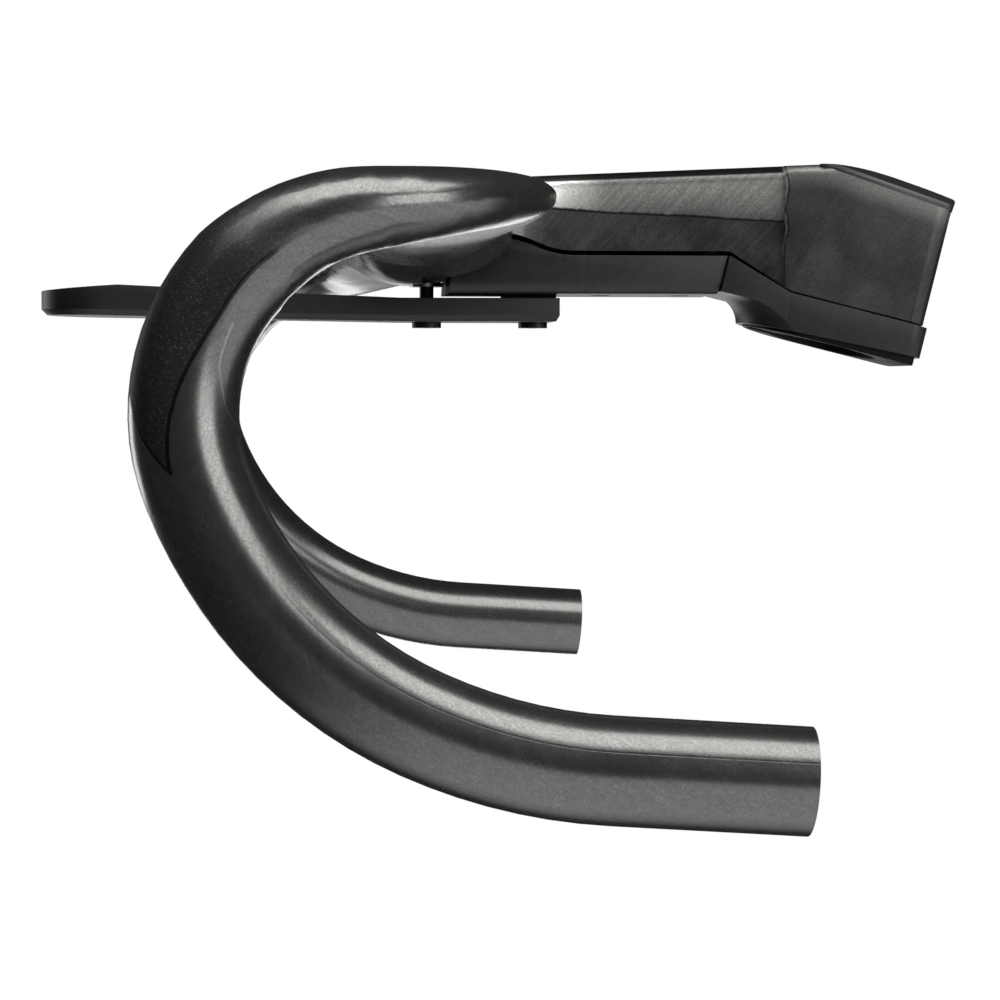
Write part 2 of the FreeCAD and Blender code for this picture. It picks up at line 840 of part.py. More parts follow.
carved = solid
for number, space in enumerate([clamp_trim, cap_space, hollow, underside]):
    carved = cut(f"Carved{number}", carved, space)
carved = cut("WithDuct", carved, duct_space)
body = cut("BarStemBody", carved, join("Holes", tools))
body.Label = "bar_stem_body"

# Cover under the stem: a tray with bosses that stand against the pillars
cover = new_body("stem_under_cover")
cover_back = "-cover_joint - cover_joint_gap / 2"
outline(
    sketch_on(cover, "XZ_Plane"),
    [
        (f"{cover_start} - cover_front_lean", "-cover_floor"),
        (level_x(cover_back, "-cover_floor"), "-cover_floor"),
        (level_x(cover_back, "-cover_edge"), "-cover_edge"),
        (behind("cover_dip_start"), "-cover_edge"),
        (behind("cover_hump_start"), "-cover_hump_drop"),
        (cover_start, "cover_front_height"),
    ],
    {3: ("cover_dip_radius", 1), 4: ("cover_hump_radius", -1)},
)
tray = pad(cover, cover.Group[-1], "stem_width", "Symmetric")


def is_long_bottom(edge):
    level = all(is_near(corner.Z, "-cover_floor") for corner in edge.Vertexes)
    return level and is_near(abs(middle_of(edge).y), "stem_width / 2")


fillet(cover, edges_of(tray, is_long_bottom), "cover_corner")
inside_front = f"{cover_start} + cover_wall"
inside_back = f"{level_x(cover_back, '-cover_floor')} - cover_wall"
inside = sketch_on(cover, "XZ_Plane")
rectangle(inside, inside_front, inside_back, "cover_wall - cover_floor", "cut_margin")
pocket(cover, inside, "stem_width - cover_wall * 2", "Symmetric")
bosses = sketch_on(cover, "XY_Plane", "-cover_floor")
for x in screw_places.values():
    circle(bosses, x, "0", "pillar_radius")
boss_height = "cover_floor + pillar_foot"
pad(cover, bosses, boss_height)
cover_holes = sketch_on(cover, "XY_Plane", "pillar_foot")
circle(cover_holes, screw_places["mount"], "0", "mount_bolt_radius + mount_bolt_clearance")
for spot in ("front", "back"):
    circle(cover_holes, screw_places[spot], "0", "cover_screw_radius + cover_screw_clearance")
pocket(cover, cover_holes, boss_height)
sinks = sketch_on(cover, "XY_Plane", "cover_screw_sink - cover_floor")
for spot in ("front", "back"):
    circle(sinks, screw_places[spot], "0", "cover_screw_head + cover_screw_clearance")
pocket(cover, sinks, "cover_screw_sink")


def steerer_and_hoses(sketch):
    # The hole for the steerer, and the slot in front of it for the hoses
    half = "(hose_slot_width / 2)"
    hole = "(steerer_radius + headset_bore_clearance)"
    meet = f"-sqrt({hole}^2 - {half}^2)"
    front = "-hose_slot_front"
    corners = [(meet, half), (front, half), (front, f"-{half}"), (meet, f"-{half}"), (hole, "0")]
    outline(sketch, corners, {3: (hole, -1), 4: (hole, -1)})


# Headset cover: its collar stands against the clamp, and the base fits in its underside
headset = new_body("headset_cover", steerer_frame)
headset_front = "-cover_joint + cover_joint_gap / 2"
headset_back = "clamp_back + headset_step"
headset_top = "-clamp_drop - clamp_gap"
outline(
    sketch_on(headset, "XZ_Plane"),
    [
        (headset_front, f"({headset_front}) * tan(steerer_tilt) - cover_edge / cos(steerer_tilt)"),
        (headset_front, "-headset_front_drop"),
        (headset_back, "-headset_back_drop"),
        (headset_back, headset_top),
        ("-clamp_lip", headset_top),
    ],
)
block = pad(headset, headset.Group[-1], "clamp_width", "Symmetric")


def is_back_corner(edge):
    behind = all(is_near(corner.X, headset_back) for corner in edge.Vertexes)
    return behind and is_near(abs(middle_of(edge).y), "clamp_width / 2")


fillet(headset, edges_of(block, is_back_corner), "clamp_corner")
# The front of it is scooped out below the stem cover, round the hoses and the steerer
bow = sketch_on(headset, "XZ_Plane")
bind(bow, "AttachmentOffset.Base.x", "-headset_bow_back")
outline(
    bow,
    [
        (f"{headset_front} + headset_bow_back", "-headset_scoop_top"),
        ("-headset_bow_radius", "-headset_front_drop"),
        ("-headset_bow_radius", "-cut_margin"),
        ("-cut_margin", "-cut_margin"),
        ("-cut_margin", "-headset_scoop_top"),
    ],
    {0: ("headset_scoop_radius", 1)},
)
scoop = headset.newObject("PartDesign::Groove", "headset_scoop")
scoop.Profile = bow
scoop.ReferenceAxis = (bow, ["V_Axis"])
scoop.Angle = 180
scoop.Midplane = True
collar = sketch_on(headset, "XY_Plane", "-clamp_drop")
circle(collar, "0", "0", "steerer_radius + headset_bore_clearance + headset_collar")
pad(headset, collar, "seam_gap * 2", reverse=True)
headset_holes = sketch_on(headset, "XY_Plane")
steerer_and_hoses(headset_holes)
pocket(headset, headset_holes, "cut_margin")
base_top = "base_thickness - base_drop"
base_room = sketch_on(headset, "XY_Plane", base_top)


def base_outline(sketch, clearance):
    # A half circle in front, and rounded behind as the cover is
    back = f"{headset_back} - base_inset - {clearance}"
    side = f"(clamp_width / 2 - base_inset - {clearance})"
    corner = "(clamp_corner - base_inset)"
    corners = [
        ("-headset_bow_back", f"-{side}"),
        (f"{back} - {corner}", f"-{side}"),
        (back, f"{corner} - {side}"),
        (back, f"{side} - {corner}"),
        (f"{back} - {corner}", side),
        ("-headset_bow_back", side),
        (f"-headset_bow_back - {side}", "0"),
    ]
    outline(sketch, corners, {1: (corner, -1), 3: (corner, -1), 5: (side, -1), 6: (side, -1)})


base_outline(base_room, "0")
pocket(headset, base_room, "cut_margin")

base = new_body("headset_base", steerer_frame)
base_plan = sketch_on(base, "XY_Plane", "-base_drop")
base_outline(base_plan, "base_clearance")
pad(base, base_plan, "base_thickness")
base_hole = sketch_on(base, "XY_Plane")
steerer_and_hoses(base_hole)
pocket(base, base_hole, "cut_margin")

# Cap over the clamp: crowned both ways, with two pegs in the clamp and room for the steerer
cap_body = new_body("CapBody", cap_frame)
outline(
    sketch_on(cap_body, "XZ_Plane"),
    [("-cap_front", "0"), ("cap_back", "0"), ("cap_back", "cap_height"), ("-cap_front", "cap_nose")],
    {2: ("cap_radius", -1)},
)
pad(cap_body, cap_body.Group[-1], "clamp_width - seam_gap", "Symmetric")
crown = sketch_on(cap_body, "YZ_Plane")
outline(
    crown,
    [
        ("-clamp_width / 2", "cap_edge"),
        ("clamp_width / 2", "cap_edge"),
        ("clamp_width / 2", "cut_margin"),
        ("-clamp_width / 2", "cut_margin"),
    ],
    {0: ("cap_crown_radius", 1)},
)
pocket(cap_body, crown, "cut_margin * 2", "Symmetric")
cap_round = sketch_on(cap_body, "XY_Plane", "cut_margin")
cap_side = "(clamp_width / 2)"
outline(
    cap_round,
    [
        ("cap_back - cap_corner", f"-{cap_side}"),
        ("cap_back + cap_corner", f"-{cap_side}"),
        ("cap_back + cap_corner", cap_side),
        ("cap_back - cap_corner", cap_side),
        ("cap_back", f"{cap_side} - cap_corner"),
        ("cap_back", f"cap_corner - {cap_side}"),
    ],
    {3: ("cap_corner", 1), 5: ("cap_corner", 1)},
)
pocket(cap_body, cap_round, "cut_margin")
pegs = sketch_on(cap_body, "XY_Plane")
for side in ("-cap_peg_side", "cap_peg_side"):
    circle(pegs, "cap_peg_back", side, "cap_peg_radius")
pad(cap_body, pegs, "cap_peg_length", reverse=True)
relief_radius = "steerer_radius + steerer_clearance + cap_relief"
relief = cylinder("CapRelief", relief_radius, "clamp_rise + cap_relief_height", steerer_frame)
cap = cut("TopCap", cap_body, relief)
cap.Label = "top_cap"

nodes = [body, cover, headset, base, cap]

# Pinch bolts with their washers, in nuts moulded into the clamp
to_side = Rotation(Vector(1, 0, 0), -90)
for spot, up in pinch_heights.items():
    seat = Placement(on_steerer("pinch_back", up, "pinch_seat"), to_side)
    hole = "pinch_radius + pinch_clearance"
    nodes.append(ring(f"pinch_washer_{spot}", hole, "pinch_head_radius", "0", "pinch_washer_height", seat))
    nodes.append(
        bolt(
            f"pinch_bolt_{spot}",
            "pinch_head_radius",
            "pinch_head_height",
            "pinch_radius",
            "pinch_washer_height + pinch_seat + pinch_nut_face + pinch_nut_length",
            "pinch_key",
            "pinch_key_depth",
            Placement(on_steerer("pinch_back", up, "pinch_seat + pinch_washer_height"), to_side),
        )
    )
    nodes.append(
        ring(
            f"pinch_nut_{spot}",
            "pinch_radius + thread_clearance",
            "pinch_nut_radius",
            "0",
            "pinch_nut_length",
            Placement(on_steerer("pinch_back", up, nut_end), to_side),
        )
    )

# Plate of the computer mount, with a round head
plate = new_body("computer_mount_plate")
plate_nose = ahead("plate_front")
plate_end = behind("plate_rear")
outline(
    sketch_on(plate, "XZ_Plane"),
    [
        (plate_nose, "-plate_nose_bottom"),
        (ahead("plate_bend"), "-plate_bottom"),
        (plate_end, "-plate_bottom"),
        (plate_end, "-plate_top"),
        (ahead("plate_bend"), "-plate_top"),
        (ahead("plate_crown_front"), "-plate_crown"),
        (plate_nose, "-plate_nose_top"),
    ],
)
pad(plate, plate.Group[-1], "plate_head_radius * 2 + cut_margin", "Symmetric")
plate_plan = sketch_on(plate, "XY_Plane")
plate_side = "(plate_head_radius + cut_margin)"
rectangle(plate_plan, f"{plate_nose} - cut_margin", f"{plate_end} + cut_margin", f"-{plate_side}", plate_side)
head_middle = f"{plate_nose} + plate_head_radius"
outline(
    plate_plan,
    [
        (plate_end, "-plate_half_width"),
        (ahead("plate_waist_front"), "-plate_waist"),
        (head_middle, "-plate_head_radius"),
        (plate_nose, "0"),
        (head_middle, "plate_head_radius"),
        (ahead("plate_waist_front"), "plate_waist"),
        (plate_end, "plate_half_width"),
    ],
    {2: ("plate_head_radius", 1), 3: ("plate_head_radius", 1)},
)
pocket(plate, plate_plan, "cut_margin")
bolt_holes = sketch_on(plate, "XY_Plane")
for x in (front_bolt, screw_places["mount"]):
    circle(bolt_holes, x, "0", "mount_bolt_radius + mount_bolt_clearance")
pocket(plate, bolt_holes, "cut_margin")
socket_middle = ahead("socket_front")
socket_floor = "-plate_crown - socket_depth"
socket_room = sketch_on(plate, "XY_Plane", socket_floor)
circle(socket_room, socket_middle, "0", "socket_radius + socket_clearance")
pocket(plate, socket_room, "socket_depth * 2", reverse=True)
screw_sides = {"left": "-socket_screw_circle", "right": "socket_screw_circle"}
screw_seat = "socket_height - socket_screw_head_height"
small_holes = sketch_on(plate, "XY_Plane", socket_floor)
for side in screw_sides.values():
    circle(small_holes, socket_middle, side, "socket_screw_radius + thread_clearance")
pocket(plate, small_holes, f"socket_screw_length - ({screw_seat})")

# Quarter-turn socket in the head: a mouth with two slots over a groove
socket_place = Placement(Vector(worth(socket_middle), 0, worth(socket_floor)), Rotation())
socket = turned(
    "computer_socket",
    [
        ("0", "0"),
        ("socket_radius", "0"),
        ("socket_radius", "socket_height"),
        ("socket_mouth", "socket_height"),
        ("socket_mouth", "socket_height - socket_dish"),
        ("socket_tab_reach", "socket_height - socket_dish"),
        ("socket_tab_reach", "socket_dish"),
        ("0", "socket_dish"),
    ],
    socket_place,
)
slots = sketch_on(socket, "XY_Plane", "socket_height")
rectangle(slots, "-socket_tab_reach", "socket_tab_reach", "-socket_tab / 2", "socket_tab / 2")
pocket(socket, slots, "socket_height - socket_dish")
screw_ways = sketch_on(socket, "XY_Plane", "socket_height")
screw_sinks = sketch_on(socket, "XY_Plane", "socket_height")
for side in screw_sides.values():
    circle(screw_ways, "0", side, "socket_screw_radius + socket_screw_clearance")
    circle(screw_sinks, "0", side, "socket_screw_head + socket_screw_clearance")
pocket(socket, screw_ways, "socket_height")
pocket(socket, screw_sinks, "socket_screw_head_height")
nodes += [plate, socket]
for name, side in screw_sides.items():
    seat = socket_place.Base + Vector(0, worth(side), worth(screw_seat))
    nodes.append(
        bolt(
            f"socket_screw_{name}",
            "socket_screw_head",
            "socket_screw_head_height",
            "socket_screw_radius",
            "socket_screw_length",
            "socket_screw_key",
            "socket_screw_head_height / 2",
            Placement(seat, Rotation()),
        )
    )

# Bolts of the mount from below, their threaded inserts, and the pad under the cover
upside_down = Rotation(Vector(1, 0, 0), 180)
mount_lengths = {
    "front": "plate_bottom - mount_face + mount_grip",
    "rear": "plate_bottom + pillar_foot + mount_grip",
}
for name, length in mount_lengths.items():
    nodes.append(
        bolt(
            f"mount_bolt_{name}",
            "mount_head_radius",
            "mount_head_height",
            "mount_bolt_radius",
            length,
            "mount_key",
            "mount_key_depth",
            Placement(Vector(worth(behind(f"mount_bolt_{name}")), 0, worth("-plate_bottom")), upside_down),
        )
    )
mount_thread = "mount_bolt_radius + thread_clearance"
nodes.append(
    turned(
        "mount_insert_front",
        [
            (mount_thread, "-mount_flange_height"),
            ("mount_flange_radius", "-mount_flange_height"),
            ("mount_flange_radius", "0"),
            ("mount_nut_radius", "0"),
            ("mount_nut_radius", "mount_nut_length"),
            (mount_thread, "mount_nut_length"),
        ],
        Placement(Vector(worth(front_bolt), 0, worth("-mount_face")), Rotation()),
    )
)
rear_foot = Placement(Vector(worth(screw_places["mount"]), 0, worth("pillar_foot")), Rotation())
nodes.append(ring("mount_insert_rear", mount_thread, "mount_nut_radius", "0", "mount_nut_length", rear_foot))
spacer = new_body("mount_spacer_pad")
spacer_plan = sketch_on(spacer, "XY_Plane", "-plate_top")
rectangle(spacer_plan, behind("pad_front"), behind("pad_rear"), "-pad_half_width", "pad_half_width")
circle(spacer_plan, screw_places["mount"], "0", "mount_bolt_radius + mount_bolt_clearance")
pad(spacer, spacer_plan, "plate_top - cover_floor")
nodes.append(spacer)

# Screws of the cover and their threaded inserts
for spot in ("front", "back"):
    x = worth(screw_places[spot])
    nodes.append(
        bolt(
            f"cover_screw_{spot}",
            "cover_screw_head",
            "cover_screw_head_height",
            "cover_screw_radius",
            "cover_floor - cover_screw_sink + pillar_foot + cover_screw_grip",
            "cover_screw_key",
            "cover_screw_head_height / 2",
            Placement(Vector(x, 0, worth("cover_screw_sink - cover_floor")), upside_down),
        )
    )
    foot = Placement(Vector(x, 0, worth("pillar_foot")), Rotation())
    thread = "cover_screw_radius + thread_clearance"
    nodes.append(ring(f"cover_insert_{spot}", thread, "cover_nut_radius", "0", "cover_nut_length", foot))

doc.recompute()
for thing in doc.Objects:
    if "Invalid" in thing.State or "Error" in thing.State:
        raise ValueError(f"{thing.Name} did not build")
os.makedirs("parts", exist_ok=True)
for node in nodes:
    if node.Shape.isNull() or not node.Shape.isValid():
        raise ValueError(f"{node.Label} is not a valid shape")
for node in nodes:
    node.Shape.exportStep(f"parts/{node.Label}.step")
    print(node.Label, len(node.Shape.Solids), round(node.Shape.Volume))
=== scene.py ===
import math

import bmesh
import bpy
import numpy as np
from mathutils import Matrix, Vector


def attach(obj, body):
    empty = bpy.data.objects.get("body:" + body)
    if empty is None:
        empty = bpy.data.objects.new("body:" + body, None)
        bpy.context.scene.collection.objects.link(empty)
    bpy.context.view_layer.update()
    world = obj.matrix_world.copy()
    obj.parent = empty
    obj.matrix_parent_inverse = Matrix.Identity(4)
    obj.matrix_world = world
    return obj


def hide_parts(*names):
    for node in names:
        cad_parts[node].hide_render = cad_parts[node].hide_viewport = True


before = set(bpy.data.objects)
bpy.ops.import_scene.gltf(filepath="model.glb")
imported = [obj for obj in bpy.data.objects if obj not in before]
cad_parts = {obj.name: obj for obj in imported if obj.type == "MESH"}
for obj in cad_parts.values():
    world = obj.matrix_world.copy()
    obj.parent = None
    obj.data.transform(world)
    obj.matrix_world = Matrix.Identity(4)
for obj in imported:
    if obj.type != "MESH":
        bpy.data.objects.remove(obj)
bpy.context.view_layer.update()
bpy.ops.object.select_all(action="DESELECT")
print("frame loaded:", len(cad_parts), "nodes")


# one socket of a material, so that shader sums read as sums
class Strand:
    def __init__(self, tree, socket=None):
        self.tree = tree
        self.socket = socket

    # any node: its kind, its settings, what goes in, and the output wanted
    def make(self, kind, settings=None, inputs=None, out=0):
        node = self.tree.nodes.new(kind)
        for name, value in (settings or {}).items():
            setattr(node, name, value)
        for name, value in (inputs or {}).items():
            self.plug(node, name, value)
        return Strand(self.tree, self.pick(node.outputs, out))

    # a socket by its place in the row, its identifier or its name
    def pick(self, sockets, key):
        if isinstance(key, int):
            return sockets[key]
        return [socket for socket in sockets if key in (socket.identifier, socket.name)][0]

    def plug(self, node, name, value):
        target = self.pick(node.inputs, name)
        if isinstance(value, Strand):
            self.tree.links.new(value.socket, target)
        else:
            target.default_value = value

    def sum(self, operation, first, second):
        return self.make("ShaderNodeMath", {"operation": operation}, {0: first, 1: second})

    def __add__(self, other):
        return self.sum("ADD", self, other)

    def __radd__(self, other):
        return self.sum("ADD", other, self)

    def __sub__(self, other):
        return self.sum("SUBTRACT", self, other)

    def __rsub__(self, other):
        return self.sum("SUBTRACT", other, self)

    def __mul__(self, other):
        return self.sum("MULTIPLY", self, other)

    def __truediv__(self, other):
        return self.sum("DIVIDE", self, other)

    def __abs__(self):
        return self.sum("ABSOLUTE", self, 0.0)

    def __gt__(self, other):
        return self.sum("GREATER_THAN", self, other)

    def __lt__(self, other):
        return self.sum("LESS_THAN", self, other)

    # 0 below low, 1 above high, smooth between
    def rise(self, low, high):
        ends = {"Value": self, "From Min": low, "From Max": high}
        return self.make("ShaderNodeMapRange", {"interpolation_type": "SMOOTHSTEP"}, ends, "Result")

    def remap(self, low, high, toLow, toHigh):
        ends = {"Value": self, "From Min": low, "From Max": high, "To Min": toLow, "To Max": toHigh}
        return self.make("ShaderNodeMapRange", {}, ends, "Result")

    # 1 where this is about 0, and 0 to both sides of that
    def line(self, low, high):
        return 1 - abs(self).rise(low, high)

    def parts(self):
        return [self.make("ShaderNodeSeparateXYZ", {}, {"Vector": self}, axis) for axis in "XYZ"]

    # turned first, then drawn out
    def stretch(self, scale, turn=(0.0, 0.0, 0.0)):
        turned = self.make("ShaderNodeMapping", {}, {"Vector": self, "Rotation": turn}, "Vector")
        return turned.make("ShaderNodeMapping", {}, {"Vector": turned, "Scale": scale}, "Vector")

    def noise(self, scale, detail, rough):
        inputs = {"Vector": self, "Scale": scale, "Detail": detail, "Roughness": rough}
        return self.make("ShaderNodeTexNoise", {}, inputs, "Fac")

    # noise lies between 0 and 1, and its swing about 0
    def swing(self):
        return self - 0.5

    def tint(self, share, first, second):
        inputs = {"Factor_Float": share, "A_Color": first, "B_Color": second}
        return self.make("ShaderNodeMix", {"data_type": "RGBA"}, inputs, "Result_Color")


# a new material: its first strand, its shader, and its place on the object
def newFinish(name, constants):
    finish = bpy.data.materials.new(name)
    finish.use_nodes = True
    tree = finish.node_tree
    shader = tree.nodes["Principled BSDF"]
    for socket, value in constants.items():
        shader.inputs[socket].default_value = value
    start = Strand(tree)
    place = start.make("ShaderNodeTexCoord", {}, {}, "Object")
    return finish, start, shader, place


def grey(level, warm=0.0):
    return (level * (1 + warm), level, level * (1 - warm), 1.0)


def dressNode(name, finish):
    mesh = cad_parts[name].data
    mesh.materials.clear()
    mesh.materials.append(finish)


# route of the left half of the bar: wing, shoulder and drop, in metres and degrees
barRoute = {
    "reach": 0.1247,
    "rise": 0.0016,
    "halfHoods": 0.203,
    "shoulder": 0.038,
    "slope": 7.8,
    "ramp": 0.0245,
    "bends": [(0.0447, 103.3), (0.0921, 44.3), (0.1166, 20.8)],
    "tail": 0.0432,
    "flare": 5.0,
    "wingStep": 0.004,
    "step": 0.0004,
    "batch": 4000,
}


def routeSideView(run):
    x, z = -barRoute["reach"], barRoute["rise"]
    heading = math.pi + math.radians(barRoute["slope"])
    pieces = [(barRoute["ramp"], None)]
    pieces += [(radius * math.radians(turn), radius) for radius, turn in barRoute["bends"]]
    pieces.append((barRoute["tail"], None))
    for length, radius in pieces:
        part = min(run, length)
        if radius is None:
            x += part * math.cos(heading)
            z += part * math.sin(heading)
        else:
            after = heading + part / radius
            x += radius * (math.sin(after) - math.sin(heading))
            z -= radius * (math.cos(after) - math.cos(heading))
            heading = after
        run -= part
        if run <= 0:
            break
    return x, z


def walkRoute():
    shoulder = barRoute["shoulder"]
    innerY = barRoute["halfHoods"] - shoulder
    points, runs = [], []
    for index in range(int(innerY / barRoute["wingStep"])):
        across = index * barRoute["wingStep"]
        points.append((-barRoute["reach"], -across, barRoute["rise"]))
        runs.append(across - innerY)
    whole = barRoute["ramp"] + barRoute["tail"] + sum(r * math.radians(t) for r, t in barRoute["bends"])
    topZ = None
    flare = math.radians(barRoute["flare"])
    for index in range(int(whole / barRoute["step"]) + 1):
        run = index * barRoute["step"]
        x, z = routeSideView(run)
        ahead = -barRoute["reach"] - x
        if ahead < shoulder and topZ is None:
            y = -innerY - shoulder * math.sin(math.acos(1 - ahead / shoulder))
        else:
            topZ = z if topZ is None else topZ
            y = -barRoute["halfHoods"] + (z - topZ) * math.sin(flare)
            z = topZ + (z - topZ) * math.cos(flare)
        points.append((x, y, z))
        runs.append(run)
    return np.array(points), np.array(runs)


# each point of the skin gets its run along the bar and its place across the tube
def markLayup(skin):
    points, runs = walkRoute()
    ways = np.gradient(points, axis=0)
    ways /= np.linalg.norm(ways, axis=1, keepdims=True)
    crest = np.array([0.0, 0.0, 1.0])
    crests = []
    for way in ways:
        crest = crest - way * crest.dot(way)
        crest /= np.linalg.norm(crest)
        crests.append(crest)
    crests = np.array(crests)
    flanks = np.cross(crests, ways)
    count = len(skin.data.vertices)
    spots = np.zeros(count * 3)
    skin.data.vertices.foreach_get("co", spots)
    spots = spots.reshape(-1, 3)
    left = spots.copy()
    left[:, 1] = -np.abs(spots[:, 1])
    layup = np.zeros((count, 3))
    outward = np.zeros((count, 3))
    for start in range(0, count, barRoute["batch"]):
        batch = slice(start, start + barRoute["batch"])
        some = left[batch]
        gaps = np.linalg.norm(some[:, None, :] - points[None], axis=2)
        near = gaps.argmin(axis=1)
        off = some - points[near]
        ahead = (off * ways[near]).sum(axis=1)
        layup[batch, 0] = runs[near] + ahead
        layup[batch, 1] = (off * flanks[near]).sum(axis=1)
        layup[batch, 2] = (off * crests[near]).sum(axis=1)
        outward[batch] = off - ways[near] * ahead[:, None]
    mark = skin.data.attributes.new("layup", "FLOAT_VECTOR", "POINT")
    mark.data.foreach_set("vector", layup.ravel())
    outward[spots[:, 1] > 0] *= [1, -1, 1]
    return layup, outward, spots


# laminate of the bar and stem: grey fibres that shine like metal, under a clear coat
laminate = {
    "constants": {"Coat Roughness": 0.2, "Coat IOR": 1.5, "IOR": 1.5, "Metallic": 0.85},
    "tube": 0.105,
    "stem": 0.017,
    "clampLift": 0.011,
    "tone": (1.03, 1.01, 0.97),
    "rough": 0.25,
    "stemRough": 0.22,
    "coat": 0.85,
    "stemCoatLoss": 0.55,
    "stemFrom": (-0.104, -0.09),
    "stemHalf": 0.032,
    "clampFrom": (-0.0225, -0.0209),
    "bump": {"Strength": 0.2, "Distance": 0.0001},
}

# hair of the fibres, aslant to the bar and to the stem, with clouds and specks
fibres = {
    "barStretch": (70.0, 900.0, 900.0),
    "barTurn": (0.0, 0.6, 0.0),
    "stemStretch": (60.0, 900.0, 1100.0),
    "stemTurn": (0.0, 0.8, 0.0),
    "streak": (0.35, 0.75),
    "level": 0.025,
    "stemLoss": 0.35,
    "clampLoss": 0.4,
    "height": 0.25,
    "cloudScale": 60.0,
    "cloud": (0.3, 0.72),
    "cloudLevel": 0.029,
    "cloudOnBar": 0.3,
    "cloudRough": 0.04,
    "speckScale": 1900.0,
    "speckLevel": 1.3,
    "speckHeight": 0.35,
}

# dark grip area round the front of each hook, with a pointed lower end and a black outline
gripArea = {
    "fade": (0.03, 0.06),
    "front": 0.0855,
    "tipRun": 0.101,
    "tipTurn": 0.91,
    "turn": 1.53,
    "narrowing": (0.064, 0.103),
    "tubeRadius": 0.0119,
    "lineHalf": 0.0005,
    "edge": (-0.5, 0.5),
    "outline": (0.5, 1.3),
    "outlineLoss": 0.9,
    "outlineDepth": 2.0,
    "loss": 0.82,
    "specks": (0.55, 0.8),
    "speckLevel": 0.06,
    "rough": 0.4,
    "coatLoss": 0.8,
}

# pale edge of one ply across the inner side of the hook, as run and turn round the tube
plyEdge = {
    "course": [(0.0665, 1.83), (0.077, 1.87), (0.088, 2.17), (0.093, 2.5)],
    "width": (0.012, 0.035),
    "level": 0.09,
}

# parting line along the drop, on the outer flank
parting = {"below": 0.0012, "width": (0.0001, 0.0003), "from": (0.12, 0.15), "loss": 0.45}

# painted light on the upper flanks of the stem: a brighter panel, lighter towards the top and darkened just
# under the top edge by painted shade, with painted shade as a dark line along its lower edge and a smoother
# front that carries a painted highlight
litStemPanel = {
    "slope": 0.053,
    "height": 0.0056,
    "hairWander": 0.0008,
    "cloudWander": 0.0016,
    "edge": (-0.0003, 0.0005),
    "lineBelow": 0.0003,
    "lineWidth": (0.0001, 0.0004),
    "lineLoss": 0.85,
    "level": 0.11,
    "streakLevel": 0.045,
    "polishEnd": (-0.086, -0.071),
    "rootHighlightLevel": 0.5,
    "polishRough": 0.12,
    # painted light: the panel gets brighter towards the top, and painted shade darkens it just under the top
    # edge
    "shade": (0.006, 0.018, 0.2, 1.9),
    "fade": (-0.0045, -0.0025),
    "topShadeShare": 0.4,
}

# painted shade: a black band along the top edges of the stem, where the rounded edge shows dark, also
# rougher and with less coat; the top rises to the clamp, and falls again under the cap
stemTopShade = {
    "rise": 0.0454,
    "height": 0.02342,
    "capFall": -0.338,
    "capHeight": 0.0195,
    "band": (-0.0024, -0.0017),
    "loss": 0.97,
    "rough": 0.2,
    "coatLoss": 0.3,
}

# at the front of the clamp: a wavy thin bright line along the step, a painted highlight, painted shade in a
# groove behind it, and a painted highlight on the upper part
clampStepLight = {
    "front": -0.0215,
    "waveScale": 140.0,
    "wave": 0.003,
    "width": (0.0001, 0.00028),
    "low": -0.003,
    "level": 0.07,
    "grooveBehind": 0.0006,
    "grooveWidth": (0.0001, 0.0003),
    "grooveLow": 0.002,
    "grooveLoss": 0.7,
    "upper": (-0.008, -0.001),
    "upperLevel": 0.12,
}


def gripMarks(start, run, around):
    tip, wide = gripArea["tipTurn"], gripArea["turn"]
    edge = wide - run.rise(*gripArea["narrowing"]) * (wide - tip)
    lowEnd = around.remap(0.0, tip, gripArea["front"], gripArea["tipRun"])
    below = (lowEnd - run) / gripArea["lineHalf"]
    beside = (edge - around) * (gripArea["tubeRadius"] / gripArea["lineHalf"])
    inside = start.sum("MINIMUM", below, beside)
    fade = run.rise(*gripArea["fade"])
    return inside.rise(*gripArea["edge"]) * fade, inside.line(*gripArea["outline"]) * fade


def plyEdgeMark(run, around):
    mark = 0.0
    edge = plyEdge["course"]
    for (fromRun, fromTurn), (toRun, toTurn) in zip(edge, edge[1:]):
        course = run.remap(fromRun, toRun, fromTurn, toTurn)
        onCourse = (run > fromRun) * (run < toRun)
        mark = (around - course).line(*plyEdge["width"]) * onCourse + mark
    return mark


